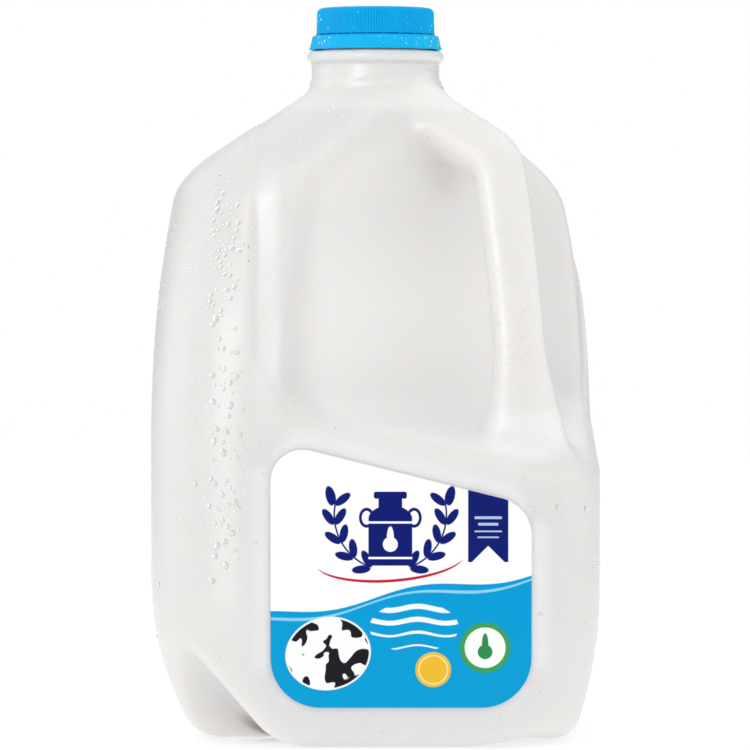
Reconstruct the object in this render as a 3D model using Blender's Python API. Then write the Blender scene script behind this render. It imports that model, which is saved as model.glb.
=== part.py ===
"""A one-gallon milk jug, full and shut: blow-moulded jug, screw cap and label.

The jug stands on z = 0 with its axis on the world's Z. The labelled side faces -Y, and the grip
is on the corner between that side and the +X side. The mould parts along the plane through the
grip and the far corner, so the jug is the same on both sides of that plane.

Two coordinates follow the parting plane: u runs from the axis towards the grip, and v is the
distance from the plane. The jug's skin is where jug_field() is zero, and the field is below zero
inside. Its parts are joined with rounded unions and cuts, as the mould's own edges are rounded.
"""

import math

import bmesh
import bpy
import numpy as np
from mathutils import Vector
from mathutils.geometry import interpolate_bezier

ROOT_2 = math.sqrt(2.0)

# Jug, in metres
HALF_WIDTH = 0.0771            # widest, just above the label's middle
CORNER_RADIUS = 0.0345         # the four upright corners
BOW_START = 0.1030             # above this the sides lean in, along an arc
BOW_RADIUS = 0.520
TUCK_START = 0.053             # below this they tuck in towards the foot
TUCK_RADIUS = 0.155
PLAIN_TUCK_START = 0.060       # the two sides away from the grip tuck in further
PLAIN_TUCK_RADIUS = 0.260
FOOT_ROUNDING = 0.0085
ROOF_TOP = 0.2248              # where the sloping roof meets the neck
ROOF_RUN = 1.49                # how far the roof runs out for each unit that it falls
ROOF_ROUNDING = 0.012
NECK_ROOT_RADIUS = 0.0244
ROUND_FROM = 0.1420            # from here up the square plan turns into the neck's circle

# Hand recess: an upright wall across the corner, over a sloping shelf
WALL_DISTANCE = 0.0285         # from the axis, along u
SHELF_HEIGHT = 0.1106          # at SHELF_AT, falling towards the grip
SHELF_AT = 0.0396
SHELF_FALL = 0.28
COVE = 0.015                   # hollow rounding between wall and shelf
EDGE_ROUNDING = 0.005          # where the wall meets a side
ROOF_EDGE_ROUNDING = 0.0125    # where it meets the roof
ROOF_EDGE_FROM = 0.1600         # height from which the edge gets rounder
STEP_EDGE = 0.0412             # a shallow step runs round the recess, this far from the axis
STEP_CORNER = 0.0244
STEP_DEPTH = 0.0018
STEP_ROUNDING = 0.0026
STEP_FADE = (0.166, 0.190)    # heights over which the step runs out under the roof

# Grip: three Bezier spans in the parting plane, as (u, z), from the neck down into the corner
GRIP_ARM = ((0.0140, 0.2209), (0.0280, 0.2142), (0.0420, 0.2075), (0.0545, 0.2016))
GRIP_BEND = ((0.0545, 0.2016), (0.0588, 0.1995), (0.0604, 0.1968), (0.0610, 0.1925))
GRIP_BAR = ((0.0610, 0.1925), (0.0654, 0.1715), (0.0702, 0.1400), (0.0741, 0.0863))
GRIP_POINTS = 9                # on each span
GRIP_HALF_WIDTH = 0.0090       # of its rounded square section, whose sides face as the jug's do
GRIP_FLARE = 0.0055            # added to it where the bar joins the corner
GRIP_FLARE_SPAN = (0.0965, 0.140)
GRIP_SQUARENESS = 3.4          # 2 is a circle, more is squarer
GRIP_FILLET = 0.010

# Foot: a notch in each corner beside the parting plane, a channel along it, a raised middle
NOTCH_KNEE = 0.0328            # from the axis to the notch's two walls, at the floor
NOTCH_LEAN = 0.85              # how far the walls lean out for each unit up
NOTCH_CREASE = 0.004           # rounding where the two walls meet
NOTCH_ROUNDING = 0.003
CHANNEL_HALF_WIDTH = 0.024
CHANNEL_DEPTH = 0.003
CHANNEL_SLOPE = 0.024
DISH_HALF_WIDTH = 0.037
DISH_CORNER = 0.037
DISH_HEIGHT = 0.006
DISH_SLOPE = 0.010

# Neck, turned about the axis
NECK_RADIUS = 0.0224
NECK_BOTTOM = 0.2157
NECK_TOP = 0.2388
BEAD_HEIGHT = 0.2368
BEAD_RADIUS = 0.0021
BEAD_REACH = 0.0241
RING_HEIGHT = 0.2276
RING_RADIUS = 0.0016
RING_SET_IN = 0.0010           # the ring's centre line lies this far inside the neck's wall
FINISH_RADIUS = 0.0186         # the mouth, inside the cap
FINISH_TOP = 0.2521
NECK_FILLET = 0.0035

# Screw cap
CAP_FLOOR = 0.2393
CAP_TOP = 0.2540
CAP_INNER_RADIUS = 0.0191
CAP_ROOF = 0.0013              # thickness of its flat top
BAND_BOTTOM_RADIUS = 0.0233
BAND_TOP_RADIUS = 0.0221
BAND_TOP = 0.2440
BAND_WALL = 0.0015
SKIRT_RADIUS = 0.02055
SKIRT_BOTTOM = 0.2447
CAP_EDGE_RADIUS = 0.0020
CAP_SEGMENTS = 72

# Label, on the side that faces -Y
LABEL_LEFT = -0.0354
LABEL_RIGHT = 0.0526
LABEL_BOTTOM = 0.0145
LABEL_TOP = 0.1050             # of the sloping top edge, carried on to the left edge
LABEL_FALL = 0.25              # drop of the top edge for each unit to the right
LABEL_BOTTOM_CORNER = 0.0168
LABEL_LEFT_CORNER = 0.0108
LABEL_RIGHT_CORNER = 0.0130
LABEL_THICKNESS = 0.0003
LABEL_GAP = 0.0004
LABEL_COLUMNS = 26
LABEL_ROWS = 9

# Skinning
CELL = 0.0016
JUG_TRIANGLES = 8800


def clear_scene():
    """Remove every object that a new file starts with."""
    for old in list(bpy.data.objects):
        bpy.data.objects.remove(old, do_unlink=True)


def moulded(name, colour, roughness):
    """A Principled material of one colour (linear RGB)."""
    material = bpy.data.materials.new(name)
    material.use_nodes = True
    shader = material.node_tree.nodes["Principled BSDF"]
    shader.inputs["Base Color"].default_value = (*colour, 1.0)
    shader.inputs["Roughness"].default_value = roughness
    shader.inputs["Metallic"].default_value = 0.0
    return material


def smooth_max(a, b, reach):
    """The larger of a and b, rounded where they are within reach of each other."""
    near = np.clip(reach - np.abs(a - b), 0.0, None) / reach
    return np.maximum(a, b) + near * near * reach / 4.0


def smooth_min(a, b, reach):
    """The smaller of a and b, rounded likewise."""
    return -smooth_max(-a, -b, reach)


def ease(t):
    """0 below t = 0, 1 above t = 1, smooth between."""
    t = np.clip(t, 0.0, 1.0)
    return t * t * (3.0 - 2.0 * t)


def rounded_square(x, y, half, radius):
    """Distance to the outline of a square of this half width with rounded corners."""
    dx = np.abs(x) - (half - radius)
    dy = np.abs(y) - (half - radius)
    outside = np.hypot(np.maximum(dx, 0.0), np.maximum(dy, 0.0))
    return outside + np.minimum(np.maximum(dx, dy), 0.0) - radius


def rounded_corner(a, b, radius):
    """Where a and b are both below zero, with the corner between them rounded."""
    a, b = a + radius, b + radius
    return np.hypot(np.maximum(a, 0.0), np.maximum(b, 0.0)) + np.minimum(np.maximum(a, b), 0.0) - radius


def half_width(z):
    """Half width of the plain body at each height."""
    bow = np.clip(z - BOW_START, 0.0, None) ** 2 / (2.0 * BOW_RADIUS)
    tuck = np.clip(TUCK_START - z, 0.0, None) ** 2 / (2.0 * TUCK_RADIUS)
    roof = NECK_ROOT_RADIUS + ROOF_RUN * (ROOF_TOP - z)
    return np.maximum(smooth_min(HALF_WIDTH - bow - tuck, roof, ROOF_ROUNDING), 0.001)


def side_field(x, y, z):
    """The plain body: a rounded square that leans in, turns round and becomes the roof."""
    half = half_width(z)
    turned = ease((z - ROUND_FROM) / (ROOF_TOP - ROUND_FROM))
    radius = np.minimum(CORNER_RADIUS + (half - CORNER_RADIUS) * turned, half)
    slope = (half_width(z + CELL) - half_width(z - CELL)) / (2.0 * CELL)
    shift = np.clip(PLAIN_TUCK_START - z, 0.0, None) ** 2 / (4.0 * PLAIN_TUCK_RADIUS)
    side = rounded_square(x - shift, y + shift, half - shift, radius) / np.sqrt(1.0 + slope * slope)
    return np.maximum(side, z - NECK_TOP)


def recess_field(body, u, v, z):
    """Cut the hand recess and the shallow step round it out of the body."""
    shelf = (SHELF_HEIGHT - SHELF_FALL * (u - SHELF_AT) - z) / math.hypot(1.0, SHELF_FALL)
    recess = smooth_max(WALL_DISTANCE - u, shelf, COVE)
    high = ease((z - ROOF_EDGE_FROM) / (ROOF_TOP - ROOF_EDGE_FROM))
    edge = EDGE_ROUNDING + (ROOF_EDGE_ROUNDING - EDGE_ROUNDING) * high
    across = (u - v) / ROOT_2
    fade = 1.0 - ease((z - STEP_FADE[0]) / (STEP_FADE[1] - STEP_FADE[0]))
    window = rounded_corner(-STEP_EDGE - across, shelf, STEP_CORNER)
    step = smooth_max(window, -(body + STEP_DEPTH * fade), STEP_ROUNDING)
    cut = smooth_max(body, -recess, edge)
    return smooth_max(cut, -step, STEP_ROUNDING)


def grip_line():
    """Points of the grip's centre line, as (u, z)."""
    points = []
    for span in (GRIP_ARM, GRIP_BEND, GRIP_BAR):
        corners = [Vector((u, z, 0.0)) for u, z in span]
        points += [(p.x, p.y) for p in interpolate_bezier(*corners, GRIP_POINTS)]
    return points


def grip_field(u, v, z):
    """A rounded square bar along the grip's centre line, wider where it joins the corner."""
    line = grip_line()
    nearest = np.full(u.shape, 1.0)
    for (u0, z0), (u1, z1) in zip(line, line[1:]):
        length = (u1 - u0) ** 2 + (z1 - z0) ** 2
        if length == 0.0:
            continue
        along = np.clip(((u - u0) * (u1 - u0) + (z - z0) * (z1 - z0)) / length, 0.0, 1.0)
        gap = np.hypot(u - u0 - along * (u1 - u0), z - z0 - along * (z1 - z0))
        nearest = np.minimum(nearest, gap)
    low, high = GRIP_FLARE_SPAN
    flare = GRIP_FLARE * ease((high - z) / (high - low))
    one, other = (nearest + v) / ROOT_2, np.abs(nearest - v) / ROOT_2
    power = GRIP_SQUARENESS
    return (one ** power + other ** power) ** (1.0 / power) - GRIP_HALF_WIDTH - flare


def foot_field(body, u, v, z):
    """Notch two corners, and hollow the underside."""
    outward = (v - np.sqrt(u * u + NOTCH_CREASE * NOTCH_CREASE)) / ROOT_2
    notch = (NOTCH_KNEE + NOTCH_LEAN * z - outward) / math.hypot(1.0, NOTCH_LEAN)
    body = smooth_max(body, -notch, NOTCH_ROUNDING)
    x, y = (u - v) / ROOT_2, -(u + v) / ROOT_2
    dish = DISH_HEIGHT * ease(-rounded_square(x, y, DISH_HALF_WIDTH, DISH_CORNER) / DISH_SLOPE)
    channel = CHANNEL_DEPTH * ease((CHANNEL_HALF_WIDTH - v) / CHANNEL_SLOPE)
    return smooth_max(body, np.maximum(dish, channel) - z, FOOT_ROUNDING)


def neck_field(x, y, z):
    """The turned neck: a collar with a ring and a bead, and the narrower mouth above it."""
    reach = np.hypot(x, y)
    collar = np.maximum(reach - NECK_RADIUS, np.maximum(z - NECK_TOP, NECK_BOTTOM - z))
    bead = np.hypot(reach - BEAD_REACH + BEAD_RADIUS, z - BEAD_HEIGHT) - BEAD_RADIUS
    ring = np.hypot(reach - NECK_RADIUS + RING_SET_IN, z - RING_HEIGHT) - RING_RADIUS
    mouth = np.maximum(reach - FINISH_RADIUS, np.maximum(z - FINISH_TOP, NECK_BOTTOM - z))
    return np.minimum(np.minimum(collar, mouth), np.minimum(bead, ring))


def jug_field(x, y, z):
    """Below zero inside the jug, zero on its skin, and roughly the distance near it."""
    u = (x - y) / ROOT_2
    v = np.abs(x + y) / ROOT_2
    body = recess_field(side_field(x, y, z), u, v, z)
    body = smooth_min(body, grip_field(u, v, z), GRIP_FILLET)
    body = foot_field(body, u, v, z)
    return smooth_min(body, neck_field(x, y, z), NECK_FILLET)


def gradient(points, step=0.0001):
    """Slope of the jug's field at each point."""
    slopes = []
    for axis in range(3):
        shift = np.zeros(3)
        shift[axis] = step
        ahead = jug_field(*(points + shift).T)
        behind = jug_field(*(points - shift).T)
        slopes.append((ahead - behind) / (2.0 * step))
    return np.stack(slopes, axis=1)


def settle(points, rounds=5):
    """Move points along the field's slope until they lie on the skin."""
    for _ in range(rounds):
        slope = gradient(points)
        scale = np.maximum((slope * slope).sum(axis=1), 0.05)
        move = -(jug_field(*points.T) / scale)[:, None] * slope
        length = np.linalg.norm(move, axis=1, keepdims=True)
        points = points + move * np.minimum(1.0, CELL / np.maximum(length, 1e-12))
    return points


def skin():
    """Net the field's zero surface: one point in each cell that it crosses, four to a face."""
    reach = HALF_WIDTH + 2.0 * CELL
    across = np.arange(-reach, reach + CELL, CELL)
    up = np.arange(-2.5 * CELL, FINISH_TOP + 3.0 * CELL, CELL)
    inside = jug_field(*np.meshgrid(across, across, up, indexing="ij")) < 0.0
    cells = [n - 1 for n in inside.shape]
    count = np.zeros(cells, dtype=int)
    for i in (0, 1):
        for j in (0, 1):
            for k in (0, 1):
                count += inside[i:cells[0] + i, j:cells[1] + j, k:cells[2] + k]
    crossed = (count > 0) & (count < 8)
    number = np.full(cells, -1)
    number[crossed] = np.arange(crossed.sum())
    where = np.argwhere(crossed)
    middles = np.stack([across[where[:, 0]], across[where[:, 1]], up[where[:, 2]]], axis=1) + CELL / 2.0
    faces = []
    for axis in range(3):
        second, third = (axis + 1) % 3, (axis + 2) % 3
        start = inside.take(range(cells[axis]), axis)
        end = inside.take(range(1, cells[axis] + 1), axis)
        for leaving in (True, False):
            at = np.argwhere((start & ~end) if leaving else (~start & end))
            corners = []
            for b, c in ((0, 0), (1, 0), (1, 1), (0, 1)):
                cell = at.copy()
                cell[:, second] -= b
                cell[:, third] -= c
                corners.append(number[tuple(cell.T)])
            quads = np.stack(corners, axis=1)
            faces.append(quads if leaving else quads[:, ::-1])
    return settle(middles), np.concatenate(faces)


def link(name, mesh, material):
    """Put a mesh into the scene as a named, smooth-shaded object."""
    mesh.materials.append(material)
    piece = bpy.data.objects.new(name, mesh)
    bpy.context.collection.objects.link(piece)
    mesh.shade_smooth()
    return piece


def make_jug():
    """The jug with its grip and neck, one solid."""
    points, faces = skin()
    mesh = bpy.data.meshes.new("jug")
    mesh.from_pydata(points.tolist(), [], faces.tolist())
    jug = link("jug", mesh, moulded("natural_hdpe", (0.84, 0.83, 0.81), 0.35))
    fewer = jug.modifiers.new("fewer_faces", "DECIMATE")
    fewer.ratio = JUG_TRIANGLES / (2.0 * len(faces))
    fewer.use_collapse_triangulate = True
    return jug


def make_cap():
    """The cap, turned from its section: band, skirt, rounded edge, flat top and inside."""
    outer = [(BAND_BOTTOM_RADIUS, CAP_FLOOR), (BAND_TOP_RADIUS, BAND_TOP), (SKIRT_RADIUS, SKIRT_BOTTOM)]
    for step in range(5):
        turn = math.radians(90.0) * step / 4
        outer.append((SKIRT_RADIUS - CAP_EDGE_RADIUS * (1.0 - math.cos(turn)),
                      CAP_TOP - CAP_EDGE_RADIUS * (1.0 - math.sin(turn))))
    inner = [(0.0, CAP_TOP), (0.0, CAP_TOP - CAP_ROOF), (CAP_INNER_RADIUS, CAP_TOP - CAP_ROOF),
             (CAP_INNER_RADIUS, BAND_TOP), (BAND_BOTTOM_RADIUS - BAND_WALL, CAP_FLOOR)]
    section = outer + inner
    work = bmesh.new()
    corners = [work.verts.new((r, 0.0, z)) for r, z in section]
    edges = [work.edges.new((corners[i], corners[(i + 1) % len(corners)])) for i in range(len(corners))]
    bmesh.ops.spin(work, geom=corners + edges, cent=(0.0, 0.0, 0.0), axis=(0.0, 0.0, 1.0),
                   angle=math.tau, steps=CAP_SEGMENTS, use_duplicate=False)
    bmesh.ops.remove_doubles(work, verts=work.verts, dist=1e-6)
    flat = [e for e in work.edges if not e.link_faces]
    bmesh.ops.delete(work, geom=flat, context="EDGES")
    bmesh.ops.recalc_face_normals(work, faces=work.faces)
    mesh = bpy.data.meshes.new("screw_cap")
    work.to_mesh(mesh)
    work.free()
    cap = link("screw_cap", mesh, moulded("sky_blue_cap_plastic", (0.01, 0.38, 0.80), 0.38))
    mesh.set_sharp_from_angle(angle=math.radians(35.0))
    return cap


def label_span(x):
    """Lowest and highest height of the label at each distance across."""
    inset = LABEL_BOTTOM_CORNER - np.minimum(x - LABEL_LEFT, LABEL_RIGHT - x)
    inset = np.clip(inset, 0.0, LABEL_BOTTOM_CORNER)
    low = LABEL_BOTTOM + LABEL_BOTTOM_CORNER - np.sqrt(LABEL_BOTTOM_CORNER ** 2 - inset ** 2)
    high = LABEL_TOP - LABEL_FALL * (x - LABEL_LEFT)
    slope = math.hypot(1.0, LABEL_FALL)
    for radius, middle, side in ((LABEL_LEFT_CORNER, LABEL_LEFT + LABEL_LEFT_CORNER, -1.0),
                                 (LABEL_RIGHT_CORNER, LABEL_RIGHT - LABEL_RIGHT_CORNER, 1.0)):
        centre = LABEL_TOP - LABEL_FALL * (middle - LABEL_LEFT) - radius * slope
        arc = centre + np.sqrt(np.clip(radius ** 2 - (x - middle) ** 2, 0.0, None))
        touch = middle + radius * LABEL_FALL / slope
        high = np.where((x - touch) * side > 0.0, arc, high)
    return low, high


def front_points(x, z):
    """Points of the jug's front at these places, with their outward directions."""
    outside = np.full(x.shape, -HALF_WIDTH - 0.01)
    inside = np.full(x.shape, -0.04)
    for _ in range(30):
        middle = (outside + inside) / 2.0
        free = jug_field(x, middle, z) > 0.0
        outside = np.where(free, middle, outside)
        inside = np.where(free, inside, middle)
    points = np.stack([x, outside, z], axis=1)
    out = gradient(points)
    return points, out / np.linalg.norm(out, axis=1, keepdims=True)


def make_label():
    """The label: a thin sheet that follows the jug's front just clear of it."""
    turn = np.linspace(-math.pi / 2.0, math.pi / 2.0, LABEL_COLUMNS)
    across = (LABEL_LEFT + LABEL_RIGHT) / 2.0 + (LABEL_RIGHT - LABEL_LEFT) / 2.0 * np.sin(turn)
    low, high = label_span(across)
    rise = np.linspace(0.0, 1.0, LABEL_ROWS)
    x = np.repeat(across, LABEL_ROWS)
    z = (low[:, None] + (high - low)[:, None] * rise[None, :]).ravel()
    points, out = front_points(x, z)
    work = bmesh.new()
    layers = []
    for lift in (LABEL_GAP, LABEL_GAP + LABEL_THICKNESS):
        verts = [work.verts.new(p) for p in points + out * lift]
        layers.append([verts[c * LABEL_ROWS:(c + 1) * LABEL_ROWS] for c in range(LABEL_COLUMNS)])
    back, front = layers
    for c in range(LABEL_COLUMNS - 1):
        for r in range(LABEL_ROWS - 1):
            for layer in (back, front):
                work.faces.new((layer[c][r], layer[c + 1][r], layer[c + 1][r + 1], layer[c][r + 1]))
    rim = [(c, 0) for c in range(LABEL_COLUMNS)]
    rim += [(LABEL_COLUMNS - 1, r) for r in range(1, LABEL_ROWS)]
    rim += [(c, LABEL_ROWS - 1) for c in range(LABEL_COLUMNS - 2, -1, -1)]
    rim += [(0, r) for r in range(LABEL_ROWS - 2, 0, -1)]
    for (c0, r0), (c1, r1) in zip(rim, rim[1:] + rim[:1]):
        work.faces.new((back[c0][r0], back[c1][r1], front[c1][r1], front[c0][r0]))
    bmesh.ops.triangulate(work, faces=work.faces)
    bmesh.ops.recalc_face_normals(work, faces=work.faces)
    mesh = bpy.data.meshes.new("front_label")
    work.to_mesh(mesh)
    work.free()
    return link("front_label", mesh, moulded("printed_film", (0.02, 0.37, 0.77), 0.4))


def main():
    clear_scene()
    make_jug()
    make_cap()
    make_label()


main()
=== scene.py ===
# %% [markdown]
# # A full gallon milk jug
#
# The object is a blow-moulded jug of natural (uncoloured) HDPE, full of milk, with a sky-blue screw
# cap and a printed film label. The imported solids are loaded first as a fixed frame. Everything made
# here rides on that frame, in metres, with Z up, the label facing -Y and the grip on the corner
# between +X and -Y.

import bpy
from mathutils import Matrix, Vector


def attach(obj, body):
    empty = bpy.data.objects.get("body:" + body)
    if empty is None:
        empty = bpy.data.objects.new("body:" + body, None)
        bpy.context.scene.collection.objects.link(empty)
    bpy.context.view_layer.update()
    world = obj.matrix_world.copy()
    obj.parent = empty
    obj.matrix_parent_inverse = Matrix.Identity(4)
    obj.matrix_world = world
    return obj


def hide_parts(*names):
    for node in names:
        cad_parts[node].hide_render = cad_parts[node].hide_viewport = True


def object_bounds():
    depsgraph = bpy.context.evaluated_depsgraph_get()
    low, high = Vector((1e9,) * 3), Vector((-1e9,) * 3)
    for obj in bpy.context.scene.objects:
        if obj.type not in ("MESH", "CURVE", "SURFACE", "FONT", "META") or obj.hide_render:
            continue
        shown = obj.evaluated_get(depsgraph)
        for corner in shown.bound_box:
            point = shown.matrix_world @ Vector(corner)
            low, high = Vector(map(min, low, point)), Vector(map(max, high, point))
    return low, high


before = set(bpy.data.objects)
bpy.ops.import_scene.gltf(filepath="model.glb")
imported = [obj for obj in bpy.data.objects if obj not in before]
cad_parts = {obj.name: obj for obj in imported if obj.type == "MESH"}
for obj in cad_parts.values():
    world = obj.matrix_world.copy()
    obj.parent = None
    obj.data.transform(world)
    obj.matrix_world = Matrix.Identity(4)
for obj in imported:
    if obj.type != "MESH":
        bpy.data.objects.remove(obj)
cad_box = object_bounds()
print("solids:", sorted(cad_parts), "box:", [round(c, 4) for corner in cad_box for c in corner])

# %% Libraries
import math

import bmesh
import bpy
import numpy as np
from mathutils import Quaternion, Vector, noise
from mathutils.geometry import interpolate_bezier

ROOT_2 = math.sqrt(2.0)
chance = np.random.default_rng(2047)
print("numbers are drawn from one seeded source")

# %% [markdown]
# ## Small helpers for materials
#
# A colour is written as the sRGB hex value that a paint chart would give, and one function turns it
# into the linear light that the renderer works in. Another adds a shader node with its settings and
# fills its inputs: a number is set there, and another node's output is linked. Where a whole node is
# given, its first output in use is meant. Some nodes have several inputs of one name, so those go by
# number: a Mix node takes the amount at 0, two plain numbers at 2 and 3, and two colours at 6 and 7.


# %% Helpers for materials
def linear(hex_colour):
    """Linear RGBA of an sRGB hex colour."""
    parts = [int(hex_colour[i:i + 2], 16) / 255.0 for i in (1, 3, 5)]
    light = [p / 12.92 if p <= 0.04045 else ((p + 0.055) / 1.055) ** 2.4 for p in parts]
    return (*light, 1.0)


def fill(made, inputs):
    """Fill a node's inputs, by name or number, with values or with links from nodes or outputs."""
    for key, value in inputs.items():
        if isinstance(value, bpy.types.Node):
            value = next(out for out in value.outputs if out.enabled)
        if isinstance(value, bpy.types.NodeSocket):
            made.id_data.links.new(value, made.inputs[key])
        else:
            made.inputs[key].default_value = value


def node(tree, kind, inputs, **settings):
    """Add a shader node, apply its settings and fill its inputs."""
    made = tree.nodes.new("ShaderNode" + kind)
    for name, value in settings.items():
        setattr(made, name, value)
    fill(made, inputs)
    return made


def new_material(name):
    """A new material, its tree and shader, and the place on the object that patterns go by."""
    material = bpy.data.materials.new(name)
    material.use_nodes = True
    tree = material.node_tree
    return material, tree, tree.nodes["Principled BSDF"], node(tree, "TexCoord", {}).outputs["Object"]


def layered(tree, colour, layers):
    """A colour with others laid over it in turn, each given by how much of it shows and what it is."""
    for amount, over in layers:
        colour = node(tree, "Mix", {0: amount, 6: colour, 7: over}, data_type="RGBA")
    return colour


print("sky blue in linear light:", [round(c, 3) for c in linear("#04A4E2")])

# %% [markdown]
# ## How the jug's shape is described
#
# A blow-moulded jug has no sharp edges: each face flows into the next one through the mould's own
# rounding. Box modelling with bevels can do this, but where five rounded forms meet it leaves lumps.
# Here the shape is a field instead: a function of x, y, z that is below zero inside the jug and
# about the distance to the skin near it. Forms are joined and cut with rounded minimum and maximum,
# which behave like the mould's fillets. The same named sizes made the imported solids.


# %% Field helpers
def smooth_max(a, b, reach):
    """The larger of a and b, rounded where they are within reach of each other."""
    near = np.clip(reach - np.abs(a - b), 0.0, None) / reach
    return np.maximum(a, b) + near * near * reach / 4.0


def smooth_min(a, b, reach):
    """The smaller of a and b, rounded likewise."""
    return -smooth_max(-a, -b, reach)


def ease(t):
    """0 below t = 0, 1 above t = 1, smooth between."""
    t = np.clip(t, 0.0, 1.0)
    return t * t * (3.0 - 2.0 * t)


def rising(value, start, over):
    """0 up to start, then easing up to 1 over this much more."""
    return ease((value - start) / over)


def falling(value, end, over):
    """0 from end on, and easing up to 1 over this much before it."""
    return ease((end - value) / over)


def about_corner(a, b, radius):
    """Distance to a rounded corner, from the distances past its centre in two directions."""
    return np.hypot(np.maximum(a, 0.0), np.maximum(b, 0.0)) + np.minimum(np.maximum(a, b), 0.0) - radius


def rounded_square(x, y, half, radius):
    """Distance to the outline of a square of this half width with rounded corners."""
    return about_corner(np.abs(x) - (half - radius), np.abs(y) - (half - radius), radius)


print("rounded union of two planes, 10 mm reach:", round(float(smooth_min(0.0, 0.0, 0.010)), 4))

# %% [markdown]
# ## The body's sides and roof
#
# The body is a rounded square in plan. Its half width changes with height: the sides lean in slowly
# above the label, tuck in under it towards the foot, and turn into a straight sloping roof. Near the
# top the square turns into the neck's circle. The two sides away from the grip tuck in further.

# %% Sides and roof
HALF_WIDTH = 0.0771
CORNER_RADIUS = 0.0345
BOW_START = 0.1030
BOW_RADIUS = 0.520
TUCK_START = 0.053
TUCK_RADIUS = 0.155
PLAIN_TUCK_START = 0.060
PLAIN_TUCK_RADIUS = 0.260
ROOF_TOP = 0.2248
ROOF_RUN = 1.49
ROOF_ROUNDING = 0.012
NECK_ROOT_RADIUS = 0.0244
ROUND_FROM = 0.1420
NECK_TOP = 0.2388


def half_width(z):
    """Half width of the plain body at each height."""
    bow = np.clip(z - BOW_START, 0.0, None) ** 2 / (2.0 * BOW_RADIUS)
    tuck = np.clip(TUCK_START - z, 0.0, None) ** 2 / (2.0 * TUCK_RADIUS)
    roof = NECK_ROOT_RADIUS + ROOF_RUN * (ROOF_TOP - z)
    return np.maximum(smooth_min(HALF_WIDTH - bow - tuck, roof, ROOF_ROUNDING), 0.001)


def side_field(x, y, z):
    """The plain body: a rounded square that leans in, turns round and becomes the roof."""
    half = half_width(z)
    turned = ease((z - ROUND_FROM) / (ROOF_TOP - ROUND_FROM))
    radius = np.minimum(CORNER_RADIUS + (half - CORNER_RADIUS) * turned, half)
    slope = (half_width(z + 0.0016) - half_width(z - 0.0016)) / 0.0032
    shift = np.clip(PLAIN_TUCK_START - z, 0.0, None) ** 2 / (4.0 * PLAIN_TUCK_RADIUS)
    side = rounded_square(x - shift, y + shift, half - shift, radius) / np.sqrt(1.0 + slope * slope)
    return np.maximum(side, z - NECK_TOP)


print("half width at mid-label, mm:", round(1000 * float(half_width(np.array(0.06))), 1))

# %% [markdown]
# ## The hand recess
#
# One corner is pressed in to leave room for fingers: an upright wall across the corner, over a shelf
# that falls away so that milk drains off it. A wide cove joins the two. A shallow step runs round
# the recess, which stiffens the thin wall there.

# %% Hand recess
WALL_DISTANCE = 0.0285
SHELF_HEIGHT = 0.1106
SHELF_AT = 0.0396
SHELF_FALL = 0.28
COVE = 0.015
EDGE_ROUNDING = 0.005
ROOF_EDGE_ROUNDING = 0.0125
ROOF_EDGE_FROM = 0.1600
STEP_EDGE = 0.0412
STEP_CORNER = 0.0244
STEP_DEPTH = 0.0018
STEP_ROUNDING = 0.0026
STEP_FADE = (0.166, 0.190)


def grip_axes(x, y):
    """u, from the axis towards the grip's corner, and v, from the plane in which the mould parts."""
    return (x - y) / ROOT_2, np.abs(x + y) / ROOT_2


def recess_field(body, u, v, z):
    """Cut the hand recess and the shallow step round it out of the body."""
    shelf = (SHELF_HEIGHT - SHELF_FALL * (u - SHELF_AT) - z) / math.hypot(1.0, SHELF_FALL)
    recess = smooth_max(WALL_DISTANCE - u, shelf, COVE)
    high = ease((z - ROOF_EDGE_FROM) / (ROOF_TOP - ROOF_EDGE_FROM))
    edge = EDGE_ROUNDING + (ROOF_EDGE_ROUNDING - EDGE_ROUNDING) * high
    across = (u - v) / ROOT_2
    fade = 1.0 - ease((z - STEP_FADE[0]) / (STEP_FADE[1] - STEP_FADE[0]))
    window = about_corner(-STEP_EDGE - across + STEP_CORNER, shelf + STEP_CORNER, STEP_CORNER)
    step = smooth_max(window, -(body + STEP_DEPTH * fade), STEP_ROUNDING)
    cut = smooth_max(body, -recess, edge)
    return smooth_max(cut, -step, STEP_ROUNDING)


print("shelf falls", round(math.degrees(math.atan(SHELF_FALL)), 1), "degrees towards the grip")

# %% [markdown]
# ## The grip
#
# The grip is a tube pinched off by the mould: it leaves the neck's root, runs down the roof's slope,
# turns, and comes back into the corner. Its centre line is three Bezier spans, and its section is a
# rounded square whose sides face the same way as the jug's.

# %% Grip
GRIP_ARM = ((0.0140, 0.2209), (0.0280, 0.2142), (0.0420, 0.2075), (0.0545, 0.2016))
GRIP_BEND = ((0.0545, 0.2016), (0.0588, 0.1995), (0.0604, 0.1968), (0.0610, 0.1925))
GRIP_BAR = ((0.0610, 0.1925), (0.0654, 0.1715), (0.0702, 0.1400), (0.0741, 0.0863))
GRIP_POINTS = 9
GRIP_HALF_WIDTH = 0.0090
GRIP_FLARE = 0.0055
GRIP_FLARE_SPAN = (0.0965, 0.140)
GRIP_SQUARENESS = 3.4
GRIP_FILLET = 0.010


def grip_line():
    """Points of the grip's centre line, as (u, z)."""
    points = []
    for span in (GRIP_ARM, GRIP_BEND, GRIP_BAR):
        corners = [Vector((u, z, 0.0)) for u, z in span]
        points += [(p.x, p.y) for p in interpolate_bezier(*corners, GRIP_POINTS)]
    return points


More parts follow.
